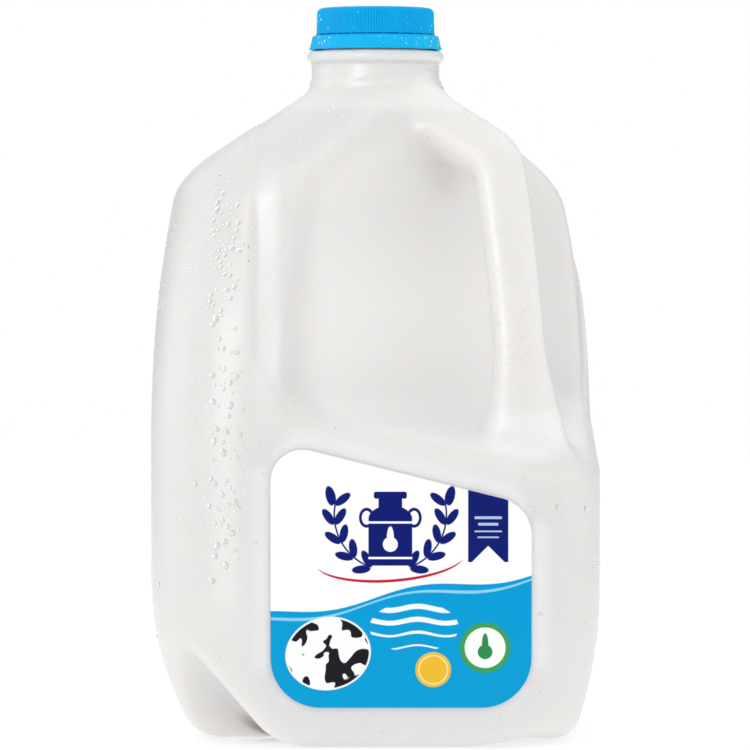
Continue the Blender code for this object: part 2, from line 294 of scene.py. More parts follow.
def grip_field(u, v, z):
    """A rounded square bar along the grip's centre line, wider where it joins the corner."""
    line = grip_line()
    nearest = np.full(u.shape, 1.0)
    for (u0, z0), (u1, z1) in zip(line, line[1:]):
        length = (u1 - u0) ** 2 + (z1 - z0) ** 2
        if length == 0.0:
            continue
        along = np.clip(((u - u0) * (u1 - u0) + (z - z0) * (z1 - z0)) / length, 0.0, 1.0)
        gap = np.hypot(u - u0 - along * (u1 - u0), z - z0 - along * (z1 - z0))
        nearest = np.minimum(nearest, gap)
    low, high = GRIP_FLARE_SPAN
    flare = GRIP_FLARE * ease((high - z) / (high - low))
    one = (nearest + v) / ROOT_2
    other = np.abs(nearest - v) / ROOT_2
    power = GRIP_SQUARENESS
    return (one ** power + other ** power) ** (1.0 / power) - GRIP_HALF_WIDTH - flare


print("grip centre line:", len(grip_line()), "points")

# %% [markdown]
# ## The foot and the neck
#
# The base stands on a ring. Two corners are notched up from below, where the crate's corner posts
# and a tilting hand go. A shallow channel runs under the parting plane, and the middle is raised so
# that the jug doesn't rock. The neck is turned: a collar, a thin ring, and a rounded bead that the
# cap's snap band catches under.

# %% Foot and neck
FOOT_ROUNDING = 0.0085
NOTCH_KNEE = 0.0328
NOTCH_LEAN = 0.85
NOTCH_CREASE = 0.004
NOTCH_ROUNDING = 0.003
CHANNEL_HALF_WIDTH = 0.024
CHANNEL_DEPTH = 0.003
CHANNEL_SLOPE = 0.024
DISH_HALF_WIDTH = 0.037
DISH_CORNER = 0.037
DISH_HEIGHT = 0.006
DISH_SLOPE = 0.010
NECK_RADIUS = 0.0224
NECK_BOTTOM = 0.2157
BEAD_HEIGHT = 0.2368
BEAD_RADIUS = 0.0021
BEAD_REACH = 0.0241
RING_HEIGHT = 0.2276
RING_RADIUS = 0.0016
RING_SET_IN = 0.0010
FINISH_RADIUS = 0.0186
FINISH_TOP = 0.2521
NECK_FILLET = 0.0035


def foot_field(body, u, v, z):
    """Notch two corners, and hollow the underside."""
    outward = (v - np.sqrt(u * u + NOTCH_CREASE * NOTCH_CREASE)) / ROOT_2
    notch = (NOTCH_KNEE + NOTCH_LEAN * z - outward) / math.hypot(1.0, NOTCH_LEAN)
    body = smooth_max(body, -notch, NOTCH_ROUNDING)
    x = (u - v) / ROOT_2
    y = -(u + v) / ROOT_2
    dish = DISH_HEIGHT * ease(-rounded_square(x, y, DISH_HALF_WIDTH, DISH_CORNER) / DISH_SLOPE)
    channel = CHANNEL_DEPTH * ease((CHANNEL_HALF_WIDTH - v) / CHANNEL_SLOPE)
    return smooth_max(body, np.maximum(dish, channel) - z, FOOT_ROUNDING)


def neck_field(x, y, z):
    """The turned neck: a collar with a ring and a bead, and the narrower mouth above it."""
    reach = np.hypot(x, y)
    collar = np.maximum(reach - NECK_RADIUS, np.maximum(z - NECK_TOP, NECK_BOTTOM - z))
    bead = np.hypot(reach - BEAD_REACH + BEAD_RADIUS, z - BEAD_HEIGHT) - BEAD_RADIUS
    ring = np.hypot(reach - NECK_RADIUS + RING_SET_IN, z - RING_HEIGHT) - RING_RADIUS
    mouth = np.maximum(reach - FINISH_RADIUS, np.maximum(z - FINISH_TOP, NECK_BOTTOM - z))
    return np.minimum(np.minimum(collar, mouth), np.minimum(bead, ring))


def jug_field(x, y, z):
    """Below zero inside the jug, zero on its skin, and roughly the distance near it."""
    u, v = grip_axes(x, y)
    body = recess_field(side_field(x, y, z), u, v, z)
    body = smooth_min(body, grip_field(u, v, z), GRIP_FILLET)
    body = foot_field(body, u, v, z)
    return smooth_min(body, neck_field(x, y, z), NECK_FILLET)


middle_field = float(jug_field(*np.array([[0.0], [0.0], [0.1]]))[0])
print("field at the jug's middle, mm:", round(1000 * middle_field, 1))

# %% [markdown]
# ## From a field to a mesh
#
# Blender's remesher could skin the field from a volume, but a surface net in numpy is short and
# exact. A grid of points is tested, each cell that the skin crosses gets one point, and each grid
# edge that crosses the skin gives one four-sided face. Then every point slides down the field's
# slope until it lies on the skin itself, so the mesh is far smoother than its cells.

# %% Skin the jug
CELL = 0.00145


def gradient(points, step=0.0001):
    """Slope of the jug's field at each point."""
    slopes = []
    for axis in range(3):
        shift = np.zeros(3)
        shift[axis] = step
        ahead = jug_field(*(points + shift).T)
        behind = jug_field(*(points - shift).T)
        slopes.append((ahead - behind) / (2.0 * step))
    return np.stack(slopes, axis=1)


def settle(points, rounds=4):
    """Move points along the field's slope until they lie on the skin."""
    for _ in range(rounds):
        slope = gradient(points)
        scale = np.maximum((slope * slope).sum(axis=1), 0.05)
        move = -(jug_field(*points.T) / scale)[:, None] * slope
        length = np.linalg.norm(move, axis=1, keepdims=True)
        points = points + move * np.minimum(1.0, CELL / np.maximum(length, 1e-12))
    return points


def skin():
    """One point in each cell that the skin crosses, and a face for each grid edge that does."""
    reach = HALF_WIDTH + 2.0 * CELL
    across = np.arange(-reach, reach + CELL, CELL)
    up = np.arange(-2.5 * CELL, FINISH_TOP + 3.0 * CELL, CELL)
    inside = jug_field(*np.meshgrid(across, across, up, indexing="ij")) < 0.0
    cells = [n - 1 for n in inside.shape]
    count = sum(inside[i:cells[0] + i, j:cells[1] + j, k:cells[2] + k].astype(int)
                for i in (0, 1) for j in (0, 1) for k in (0, 1))
    crossed = (count > 0) & (count < 8)
    number = np.full(cells, -1)
    number[crossed] = np.arange(crossed.sum())
    where = np.argwhere(crossed)
    middles = np.stack([across[where[:, 0]], across[where[:, 1]], up[where[:, 2]]], axis=1) + CELL / 2.0
    faces = []
    for axis in range(3):
        second = (axis + 1) % 3
        third = (axis + 2) % 3
        start = inside.take(range(cells[axis]), axis)
        end = inside.take(range(1, cells[axis] + 1), axis)
        for leaving in (True, False):
            at = np.argwhere((start & ~end) if leaving else (~start & end))
            corners = []
            for b, c in ((0, 0), (1, 0), (1, 1), (0, 1)):
                cell = at.copy()
                cell[:, second] -= b
                cell[:, third] -= c
                corners.append(number[tuple(cell.T)])
            quads = np.stack(corners, axis=1)
            faces.append(quads if leaving else quads[:, ::-1])
    return settle(middles), np.concatenate(faces)


def outward_at(points):
    """Unit directions straight out of the skin."""
    slope = gradient(points)
    return slope / np.linalg.norm(slope, axis=1, keepdims=True)


def put(name, vertices, faces, material):
    """Make a smooth-shaded mesh object that rides on the jug and takes the named finish."""
    mesh = bpy.data.meshes.new(name)
    mesh.from_pydata(vertices.tolist(), [], faces.tolist() if hasattr(faces, "tolist") else faces)
    mesh.materials.append(material)
    mesh.shade_smooth()
    piece = bpy.data.objects.new(name, mesh)
    bpy.context.collection.objects.link(piece)
    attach(piece, "root")
    print(name, "has", len(mesh.vertices), "points and", len(mesh.polygons), "faces")
    return piece


skin_points, skin_faces = skin()
skin_out = outward_at(skin_points)
print("skin:", len(skin_points), "points, furthest from the field's zero, mm:",
      round(1000 * float(np.abs(jug_field(*skin_points.T)).max()), 4))

# %% [markdown]
# ## The label's outline
#
# The label is a printed film, drawn 0.2 mm thick, stuck to the front. Its lower corners are round
# and its top edge slopes down to the right, to stay clear of the hand recess. The outline comes
# first, because the wall beside the film is finished by its distance from it.

# %% Label outline
LABEL_LEFT = -0.0354
LABEL_RIGHT = 0.0526
LABEL_BOTTOM = 0.0145
LABEL_TOP = 0.1050
LABEL_FALL = 0.25
LABEL_BOTTOM_CORNER = 0.0168
LABEL_LEFT_CORNER = 0.0108
LABEL_RIGHT_CORNER = 0.0130
LABEL_THICKNESS = 0.0002
LABEL_GAP = 0.0002
LABEL_COLUMNS = 88
LABEL_ROWS = 56


def label_span(x):
    """Lowest and highest height of the label at each distance across."""
    inset = LABEL_BOTTOM_CORNER - np.minimum(x - LABEL_LEFT, LABEL_RIGHT - x)
    inset = np.clip(inset, 0.0, LABEL_BOTTOM_CORNER)
    low = LABEL_BOTTOM + LABEL_BOTTOM_CORNER - np.sqrt(LABEL_BOTTOM_CORNER ** 2 - inset ** 2)
    high = LABEL_TOP - LABEL_FALL * (x - LABEL_LEFT)
    slope = math.hypot(1.0, LABEL_FALL)
    for radius, middle, side in ((LABEL_LEFT_CORNER, LABEL_LEFT + LABEL_LEFT_CORNER, -1.0),
                                 (LABEL_RIGHT_CORNER, LABEL_RIGHT - LABEL_RIGHT_CORNER, 1.0)):
        centre = LABEL_TOP - LABEL_FALL * (middle - LABEL_LEFT) - radius * slope
        arc = centre + np.sqrt(np.clip(radius ** 2 - (x - middle) ** 2, 0.0, None))
        touch = middle + radius * LABEL_FALL / slope
        high = np.where((x - touch) * side > 0.0, arc, high)
    return low, high


def front_points(x, z):
    """Points of the jug's front at these places, with their outward directions."""
    outside = np.full(x.shape, -HALF_WIDTH - 0.01)
    inside = np.full(x.shape, -0.04)
    for _ in range(30):
        middle = (outside + inside) / 2.0
        free = jug_field(x, middle, z) > 0.0
        outside = np.where(free, middle, outside)
        inside = np.where(free, inside, middle)
    points = np.stack([x, outside, z], axis=1)
    return points, outward_at(points)


print("label outline:", round(1000 * (LABEL_TOP - LABEL_BOTTOM), 1), "mm high")

# %% [markdown]
# ## Natural HDPE over milk
#
# The jug is blow-moulded high-density polyethylene with no pigment. Alone it is cloudy and lets
# light through. With milk behind it, it reads as one off-white body that light sinks a few
# millimetres into, under a satin skin. Its refractive index is about 1.54. A blown wall is never
# quite flat, so there is a slow waviness about 30 mm across. The mould is lightly blasted so that
# air escapes, which leaves a grain near 0.1 mm. It is drawn at 0.6 mm so that it shows. The mould's
# halves leave a fine raised line where they meet, except across the recess, where it is smoothed.
#
# The recess's wall and shelf are painted whiter: painted light that lifts the shade which the
# recess would hold. Above the milk there is air behind the wall, and the neck looks a little paler.
# Painted light also lifts the shelf, the wall beside the film label, the step beside the recess and
# the grip. Deep in the foot's creases and under the grip's arm, painted shade turns the wall warm and
# dim. The milk's level is a height, and each of the others is a value stored on the mesh's points.

# %% Natural HDPE
WAVINESS = 0.030
GRAIN = 0.0006
CLOUDING = 0.045
MILK_LEVEL = 0.2175
PARTING_LINE = 0.0004
SEAM_FROM = 0.050              # from the axis; nearer to it the seam is smoothed away

natural_hdpe, tree, shader, place = new_material("natural_hdpe_over_milk")
cloud = node(tree, "TexNoise", {"Vector": place, "Scale": 1.0 / CLOUDING, "Detail": 3.0})
thick = node(tree, "Mix", {0: cloud, 6: linear("#E2E0DF"), 7: linear("#E5E4E2")}, data_type="RGBA")
# A whiter wall colour, laid on the recess as painted light.
lit_recess_wall = node(tree, "Mix", {0: cloud, 6: linear("#F2F0EE"), 7: linear("#F5F4F2")}, data_type="RGBA")
height = node(tree, "SeparateXYZ", {"Vector": place}).outputs["Z"]
above_milk = node(tree, "MapRange", {"Value": height, "From Min": MILK_LEVEL - 0.002,
                                     "From Max": MILK_LEVEL + 0.003}, interpolation_type="SMOOTHSTEP")
painted_recess_light, painted_light, painted_shade = [node(tree, "Attribute", {}, attribute_name=name).outputs["Fac"]
                                   for name in ("painted_recess_light", "painted_light", "shade_depth")]
# Painted light whitens the recess, the shelf, the step, the grip and the wall beside the label; painted
# shade browns and darkens the foot's creases and the pocket under the arm.
wall = layered(tree, thick, [(painted_recess_light, lit_recess_wall), (above_milk, linear("#EBEAE8")),
                             (painted_light, linear("#FFFFFF")), (painted_shade, linear("#74665F"))])

waves = node(tree, "TexNoise", {"Vector": place, "Scale": 1.0 / WAVINESS, "Detail": 1.0})
grain = node(tree, "TexNoise", {"Vector": place, "Scale": 1.0 / GRAIN, "Detail": 1.0})
satin = node(tree, "MapRange", {"Value": waves, "From Min": 0.35, "From Max": 0.65,
                                "To Min": 0.30, "To Max": 0.38})
off_plane = node(tree, "VectorMath", {0: place, 1: (1.0 / ROOT_2, 1.0 / ROOT_2, 0.0)},
                 operation="DOT_PRODUCT")
distance = node(tree, "Math", {0: off_plane}, operation="ABSOLUTE")
ridge = node(tree, "MapRange", {"Value": distance, "From Min": PARTING_LINE, "From Max": 0.0},
             interpolation_type="SMOOTHSTEP")
level = node(tree, "VectorMath", {0: place, 1: (1.0, 1.0, 0.0)}, operation="MULTIPLY")
from_axis = node(tree, "VectorMath", {0: level}, operation="LENGTH")
past_recess = node(tree, "MapRange", {"Value": from_axis, "From Min": SEAM_FROM, "From Max": 0.055})
seam = node(tree, "Math", {0: ridge, 1: past_recess}, operation="MULTIPLY")
relief = node(tree, "Bump", {"Distance": 0.00006, "Height": waves})
for pattern, depth in ((seam, 0.00002), (grain, 0.000012)):
    relief = node(tree, "Bump", {"Distance": depth, "Height": pattern, "Normal": relief})
fill(shader, {"Base Color": wall, "Roughness": satin, "IOR": 1.54, "Normal": relief,
              "Subsurface Weight": 1.0, "Subsurface Radius": (1.0, 0.92, 0.82), "Subsurface Scale": 0.010})
print("natural HDPE: waves", WAVINESS, "m, grain", GRAIN, "m")

# %% [markdown]
# The jug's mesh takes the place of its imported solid, which has fewer and larger faces. The shading
# normals come straight from the field's slope, so highlights run over the mesh as over a moulded wall.

# %% The jug
POCKET = (0.0300, -0.0220, 0.1955)        # the hollow under the root of the grip's arm
POCKET_REACH = 0.017
STEP_STRIPE = (-0.0420, -0.0310, 0.105, 0.205)    # left, right, low, high
LABEL_HALO = 0.009
BESIDE_LABEL = 0.55            # shares of painted light, laid towards white on the wall
ON_SHELF = 0.42
ON_STEP = 0.35
ON_GRIP = 0.12


# Painted shade: how far the wall's colour goes towards a warm, dim brown where the creases and the pocket
# fall into shade.
def shade_depth(points):
    """0 in the open, towards 1 deep in the foot's creases and under the root of the grip's arm."""
    x, y, z = points.T
    u, v = grip_axes(x, y)
    in_notch = rising(-side_field(x, y, z), 0.001, 0.003) * rising(v, 0.040, 0.006)
    deep = falling(np.abs(u), 0.0075, 0.006) * falling(z, 0.014, 0.012)
    wide = 0.16 * falling(np.abs(u), 0.016, 0.014) * falling(z, 0.030, 0.025)
    from_pocket = np.linalg.norm(points - np.array(POCKET), axis=1)
    pocket = 0.20 * falling(from_pocket, POCKET_REACH, POCKET_REACH)
    return np.maximum(in_notch * np.maximum(deep, wide), pocket)


def near_grip(points, gap, fade):
    """1 near the grip's skin, fading to 0 at this gap from it."""
    x, y, z = points.T
    return falling(np.abs(grip_field(*grip_axes(x, y), z)), gap, fade)


def recess_light_mask(points):
    """1 on the recess's wall and shelf, where painted light makes the wall whiter."""
    x, y, z = points.T
    reach = np.where(x + y < 0.0, 0.072, 0.054)
    middle = falling(grip_axes(x, y)[1], reach, 0.022)
    high = 1.0 - 0.45 * rising(z, 0.145, 0.040)
    deep = rising(-side_field(x, y, z), 0.002, 0.012)
    return middle * high * deep * (1.0 - near_grip(points, 0.0040, 0.0030)) * rising(z, 0.080, 0.010)


def upright_stripe(points, left, right, low, high):
    """1 on the jug's front between two places across and two heights, with soft ends."""
    x, y, z = points.T
    across = rising(x, left, 0.0035) * falling(x, right, 0.0035) * (y < 0.0)
    return across * rising(z, low, 0.030) * falling(z, high, 0.020)


def light_lift_mask(points):
    """How much painted light lifts the wall: beside the label, on the shelf, on the step and in the grip."""
    x, y, z = points.T
    low, high = label_span(np.clip(x, LABEL_LEFT, LABEL_RIGHT))
    gap_across = np.maximum(LABEL_LEFT - x, x - LABEL_RIGHT)
    gap_up = np.maximum(low - z, z - high)
    gap = np.hypot(np.maximum(gap_across, 0.0), np.maximum(gap_up, 0.0))
    beside_label = falling(gap, LABEL_HALO, LABEL_HALO) * (y < -0.06) * rising(z, -0.005, 0.045)
    shelf = rising(-side_field(x, y, z), 0.001, 0.006) * rising(z, 0.078, 0.010) * falling(z, 0.122, 0.014)
    return np.maximum.reduce((BESIDE_LABEL * beside_label, ON_SHELF * shelf * (x - y > 0.03),
                              ON_STEP * upright_stripe(points, *STEP_STRIPE),
                              ON_GRIP * near_grip(points, 0.0035, 0.0020)))


jug_body = put("jug_body", skin_points, skin_faces, natural_hdpe)
jug_body.data.normals_split_custom_set_from_vertices(skin_out.tolist())
# The painted shade, the recess's painted light and the other painted light are stored on the points.
for name, value_at in (("shade_depth", shade_depth), ("painted_recess_light", recess_light_mask), ("painted_light", light_lift_mask)):
    values = value_at(skin_points)
    jug_body.data.attributes.new(name, "FLOAT", "POINT").data.foreach_set("value", values)
    print(name, "is above a half at", int((values > 0.5).sum()), "points")
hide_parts("jug")

# %% [markdown]
# ## The screw cap
#
# The cap is injection-moulded in pigmented polyethylene. Its skirt has fine upright ribs for grip, its
# top is flat with a rounded edge, and a wider snap band hangs under it on short bridges that tear
# when the jug is first opened. A bevelled cylinder with an array of ribs would need booleans. Since
# everything repeats round one axis, it is easier to turn one section and let the radius follow the
# ribs and bridges.

# %% Cap section
CAP_FLOOR = 0.2393
CAP_TOP = 0.2540
CAP_INNER_RADIUS = 0.0191
CAP_ROOF = 0.0013
BAND_BOTTOM_RADIUS = 0.0233
BAND_TOP_RADIUS = 0.0221
BAND_TOP = 0.2440
BAND_WALL = 0.0015
SKIRT_RADIUS = 0.02055
SKIRT_BOTTOM = 0.2447
CAP_EDGE_RADIUS = 0.0020
RIBS = 132
BRIDGES = 22
AROUND_EACH_RIB = 6
EDGE_STEPS = 6

section = [(radius, CAP_TOP - drop) for radius, drop in (
    (0.0, 0.0003), (0.0010, 0.0003), (0.0016, 0.0006), (0.0024, 0.0006), (0.0150, 0.0005), (0.0162, 0.0001))]
for step in range(EDGE_STEPS + 1):
    turn = math.radians(90.0) * step / EDGE_STEPS
    section.append((SKIRT_RADIUS - CAP_EDGE_RADIUS * (1.0 - math.sin(turn)),
                    CAP_TOP - CAP_EDGE_RADIUS * (1.0 - math.cos(turn))))
ribs_from = len(section) - 4
section += [(SKIRT_RADIUS, 0.2500), (SKIRT_RADIUS + 0.0001, 0.2475), (SKIRT_RADIUS + 0.0002, 0.2452)]
ribs_to = len(section)
section += [(SKIRT_RADIUS + 0.0003, SKIRT_BOTTOM + 0.0001)]
bridges_at = len(section)
section += [(SKIRT_RADIUS + 0.0001, SKIRT_BOTTOM), (SKIRT_RADIUS + 0.0001, SKIRT_BOTTOM - 0.0004)]
section += [(BAND_TOP_RADIUS - 0.0005, BAND_TOP + 0.0003), (BAND_TOP_RADIUS - 0.0001, BAND_TOP + 0.0001),
            (BAND_TOP_RADIUS + 0.0001, BAND_TOP - 0.0003), (BAND_TOP_RADIUS + 0.0005, 0.2420),
            (BAND_BOTTOM_RADIUS - 0.0004, 0.2405), (BAND_BOTTOM_RADIUS, CAP_FLOOR + 0.0004),
            (BAND_BOTTOM_RADIUS - 0.0001, CAP_FLOOR + 0.0001), (BAND_BOTTOM_RADIUS - 0.0005, CAP_FLOOR),
            (BAND_BOTTOM_RADIUS - BAND_WALL, CAP_FLOOR + 0.0001), (CAP_INNER_RADIUS, BAND_TOP),
            (CAP_INNER_RADIUS, CAP_TOP - CAP_ROOF), (0.0, CAP_TOP - CAP_ROOF)]
print("cap section:", len(section), "points,", RIBS, "ribs of",
      round(math.tau * SKIRT_RADIUS / RIBS * 1000, 2), "mm")

# %% [markdown]
# Each ring of the section is swept round the axis. On the skirt, the radius drops between ribs. In
# the gap above the band it drops everywhere but at the bridges.

# %% Turn the cap
RIB_DEPTH = 0.00032
GAP_DEPTH = 0.0009


def turned(section, steps):
    """Rings of points round the Z axis, and the faces between them; both ends lie on the axis."""
    angles = np.linspace(0.0, math.tau, steps, endpoint=False)
    rib = 0.5 - 0.5 * np.cos(angles * RIBS)
    bridge = rising(np.cos(angles * BRIDGES), 0.80, 0.10)
    rings = []
    for number, (radius, height) in enumerate(section[1:-1], start=1):
        reach = np.full(steps, radius)
        if ribs_from <= number < ribs_to:
            fade = 1.0 if number > ribs_from else 0.4
            reach = reach - RIB_DEPTH * fade * rib ** 2
        if bridges_at <= number < bridges_at + 2:
            reach = reach - GAP_DEPTH * (1.0 - bridge)
        rings.append(np.stack([reach * np.cos(angles), reach * np.sin(angles),
                               np.full(steps, height)], axis=1))
    ends = np.array([(0.0, 0.0, section[0][1]), (0.0, 0.0, section[-1][1])])
    points = np.concatenate(rings + [ends])
    top = len(points) - 2
    last = (len(rings) - 1) * steps
    faces = []
    for i in range(steps):
        j = (i + 1) % steps
        faces.append((top, i, j))
        faces.append((top + 1, last + j, last + i))
        for ring in range(len(rings) - 1):
            upper = ring * steps
            lower = upper + steps
            faces.append((upper + i, lower + i, lower + j, upper + j))
    return points, faces


cap_points, cap_faces = turned(section, RIBS * AROUND_EACH_RIB)
cap_width = 2.0 * float(np.hypot(*cap_points[:, :2].T).max())
print("cap:", len(cap_points), "points,", round(1000 * cap_width, 1), "mm wide")

# %% [markdown]
# ## Cap plastic
#
# Injection-moulded polyethylene with sky-blue pigment: an even, strong colour, a soft sheen from a
# finely etched mould, and a little light carried inside thin edges, which makes the ribs' crests look
# lighter. The snap band is painted a lighter blue: painted light for the light its thin rim carries.
# IOR 1.54, roughness 0.36 to 0.46. The etching is drawn at 0.4 mm.

# %% Cap plastic
FLOW_MARKS = 0.006
ETCHING = 0.0004

cap_plastic, tree, shader, place = new_material("injection_moulded_blue_polyethylene")
flow = node(tree, "TexNoise", {"Vector": place, "Scale": 1.0 / FLOW_MARKS, "Detail": 2.0})
height = node(tree, "SeparateXYZ", {"Vector": place}).outputs["Z"]
# The snap band gets a lighter blue: painted light, not a different pigment.
on_band = node(tree, "MapRange", {"Value": height, "From Min": BAND_TOP + 0.0002,
                                  "From Max": BAND_TOP - 0.0002})
blue = layered(tree, linear("#00A9E6"), [(flow, linear("#03B4EF")), (on_band, linear("#12BAF3"))])
sheen = node(tree, "MapRange", {"Value": flow, "From Min": 0.3, "From Max": 0.7,
                                "To Min": 0.36, "To Max": 0.46})
etched = node(tree, "TexNoise", {"Vector": place, "Scale": 1.0 / ETCHING, "Detail": 1.0})
relief = node(tree, "Bump", {"Distance": 0.00001, "Height": etched})
fill(shader, {"Base Color": blue, "Roughness": sheen, "IOR": 1.54, "Specular IOR Level": 0.06,
              "Normal": relief, "Subsurface Weight": 0.25, "Subsurface Radius": (0.2, 0.6, 1.0),
              "Subsurface Scale": 0.001})

cap = put("ribbed_cap", cap_points, cap_faces, cap_plastic)
cap.data.set_sharp_from_angle(angle=math.radians(50.0))
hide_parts("screw_cap")

# %% [markdown]
# ## The label's sheet
#
# A plane shrink-wrapped to the jug would drift at its edges. Here each point's place across and up is
# chosen first, and then its depth is found by halving the distance to the skin, as many times as
# needed. The columns stand closer together at both ends, where the outline's corners are.

# %% Label grid
turn = np.linspace(-math.pi / 2.0, math.pi / 2.0, LABEL_COLUMNS)
across = (LABEL_LEFT + LABEL_RIGHT) / 2.0 + (LABEL_RIGHT - LABEL_LEFT) / 2.0 * np.sin(turn)
low, high = label_span(across)
rise = np.linspace(0.0, 1.0, LABEL_ROWS)
label_x = np.repeat(across, LABEL_ROWS)
label_z = (low[:, None] + (high - low)[:, None] * rise[None, :]).ravel()
under_label, label_out = front_points(label_x, label_z)
print("label:", round(1000 * (LABEL_RIGHT - LABEL_LEFT), 1), "mm wide")

# %% [markdown]
# ## The print
#
# The film is printed in flat inks, so each motif is a mask with a crisp edge, made from distances in
# millimetres on the label laid flat. The design is a plain dairy one: a white field over a sky-blue
# one with a wavy edge, a navy milk churn between two sprigs, a thin red curve, a ribbon, a green
# ring, a yellow disc and a patch of black-and-white hide. An ellipse is a distance of 1 after
# moving, turning and scaling. The sprigs are drawn once, on distances folded about the churn.

# %% Print masks
EDGE = 0.10

printed_film, tree, shader, place = new_material("gloss_printed_film")
axes = node(tree, "SeparateXYZ", {"Vector": place})
laid_flat = node(tree, "CombineXYZ", {"X": axes.outputs["X"], "Y": axes.outputs["Z"]})
flat = node(tree, "VectorMath", {0: laid_flat, "Scale": 1000.0}, operation="SCALE")
flat_axes = node(tree, "SeparateXYZ", {"Vector": flat})
mm_across = flat_axes.outputs["X"]
mm_up = flat_axes.outputs["Y"]


def inside(distance, edge, soft=EDGE):
    """A mask that is 1 where a distance is below edge, with a crisp change."""
    return node(tree, "MapRange", {"Value": distance, "From Min": edge + soft, "From Max": edge - soft})


def disc(middle, radii, turn=0.0, on=flat):
    """A mask that is 1 inside an ellipse on the flat label; sizes in millimetres."""
    moved = node(tree, "Mapping", {"Vector": on, "Location": (*middle, 0.0), "Scale": (*radii, 1.0),
                                   "Rotation": (0.0, 0.0, math.radians(turn))}, vector_type="TEXTURE")
    return inside(node(tree, "VectorMath", {0: moved}, operation="LENGTH"), 1.0, EDGE / min(radii))


def plate(middle, halves, corner, turn=0.0):
    """A mask that is 1 inside a rectangle with rounded corners; sizes in millimetres."""
    moved = node(tree, "Mapping", {"Vector": flat, "Location": (*middle, 0.0),
                                   "Rotation": (0.0, 0.0, math.radians(turn))}, vector_type="TEXTURE")
    size = node(tree, "VectorMath", {0: moved}, operation="ABSOLUTE")
    straight = (halves[0] - corner, halves[1] - corner, 0.0)
    past = node(tree, "VectorMath", {0: size, 1: straight}, operation="SUBTRACT")
    outside = node(tree, "VectorMath", {0: past}, operation="MAXIMUM")
    return inside(node(tree, "VectorMath", {0: outside}, operation="LENGTH"), corner)


def less(mask, cut):
    """The part of a mask that isn't in another."""
    return node(tree, "Math", {0: mask, 1: cut}, operation="SUBTRACT", use_clamp=True)


def both(mask, other):
    """The part that two masks share."""
    return node(tree, "Math", {0: mask, 1: other}, operation="MULTIPLY")


def either(mask, *others):
    """Several masks as one."""
    for other in others:
        mask = node(tree, "Math", {0: mask, 1: other}, operation="MAXIMUM")
    return mask


def hoop(middle, radii, hollow, on=flat):
    """An ellipse with a smaller one taken out of its middle."""
    return less(disc(middle, radii, 0.0, on), disc(middle, hollow, 0.0, on))


def under_wave(base, rise, height, length, start=0.0):
    """A mask that is 1 below a rising wavy line."""
    angle = node(tree, "Math", {0: mm_across, 1: math.tau / length, 2: start}, operation="MULTIPLY_ADD")
    wave = node(tree, "Math", {0: angle}, operation="SINE")
    line = node(tree, "Math", {0: mm_across, 1: rise, 2: base}, operation="MULTIPLY_ADD")
    edge = node(tree, "Math", {0: wave, 1: height, 2: line}, operation="MULTIPLY_ADD")
    return inside(node(tree, "Math", {0: mm_up, 1: edge}, operation="SUBTRACT"), 0.0)


print("print masks are ready")

# %% Print motifs
blue_field = under_wave(52.0, 0.16, 1.8, 58.0)
pale_wave = less(under_wave(50.4, 0.16, 1.8, 58.0, 0.35), under_wave(49.6, 0.16, 1.9, 58.0, 0.45))

CHURN_MIDDLE = 5.0
SPRIG_MIDDLE = 80.0
aside = node(tree, "VectorMath", {0: flat, 1: (CHURN_MIDDLE, 0.0, 0.0)}, operation="SUBTRACT")
folded = node(tree, "VectorMath", {0: aside}, operation="ABSOLUTE")
churn = either(plate((CHURN_MIDDLE, 71.0), (7.4, 8.2), 1.8), disc((CHURN_MIDDLE, 78.6), (7.4, 4.6)),
               plate((CHURN_MIDDLE, 83.0), (4.0, 2.8), 0.6), plate((CHURN_MIDDLE, 86.6), (5.6, 1.2), 0.8),
               hoop((8.0, 79.0), (2.6, 3.4), (1.6, 2.3), folded))
sprig = disc((20.3, 86.4), (1.5, 3.4), -12.0, folded)
for step in range(5):
    lean = -62.0 + 20.0 * step
    along = math.radians(lean)
    for reach, spread in ((16.9, 34.0), (20.9, -34.0)):
        leaf = (reach * math.cos(along), SPRIG_MIDDLE + reach * math.sin(along))
        sprig = either(sprig, disc(leaf, (1.4, 3.2), lean + spread, folded))
stem = hoop((0.0, SPRIG_MIDDLE), (19.2, 19.2), (18.6, 18.6), folded)
stem = both(less(stem, disc((0.0, 62.0), (7.0, 7.0), 0.0, folded)), under_wave(84.0, 0.0, 0.0, 50.0))
emblem = either(churn, sprig, stem)
churn_bands = both(churn, either(*[plate((CHURN_MIDDLE, up), (9.0, 0.35), 0.2) for up in (77.4, 65.4)]))
churn_drop = either(disc((CHURN_MIDDLE, 70.0), (2.5, 2.5)), disc((CHURN_MIDDLE, 72.4), (1.15, 3.6)))
red_curve = less(disc((5.0, 64.8), (25.0, 7.6), 4.0), disc((5.0, 65.8), (25.8, 7.6), 4.0))

ribbon = less(plate((38.0, 90.0), (6.8, 26.0), 0.3), plate((38.0, 63.0), (4.6, 4.6), 0.2, 45.0))
lines = ((79.0, 4.6, 0.45, 0.30), (76.8, 3.4, 0.45, 0.30), (74.4, 4.6, 0.25, 0.15), (72.4, 3.6, 0.25, 0.15))
ribbon_lines = either(*[plate((38.0, up), (long, thick), corner) for up, long, thick, corner in lines])

ring = hoop((37.0, 35.0), (8.6, 8.6), (6.9, 6.9))
ring_field = disc((37.0, 35.0), (7.6, 7.6))
ring_drop = either(disc((37.0, 33.6), (2.5, 2.5)), disc((37.0, 36.2), (1.1, 3.8)))
sun = disc((19.5, 27.5), (6.0, 6.0))
sun_line = hoop((19.5, 27.5), (5.1, 5.1), (4.6, 4.6))
print("motifs: churn and sprigs, curve, ribbon, ring and disc")

# %% [markdown]
# The hide is a slow noise cut off at one level, which leaves rounded islands. The ripples are lines
# at an even spacing, bent by a sine.

# %% Hide and ripples
HIDE_PATCH = 8.0
RIPPLE_SPACING = 4.4
RIPPLE_LENGTH = 19.0
RIPPLE_HEIGHT = 0.7

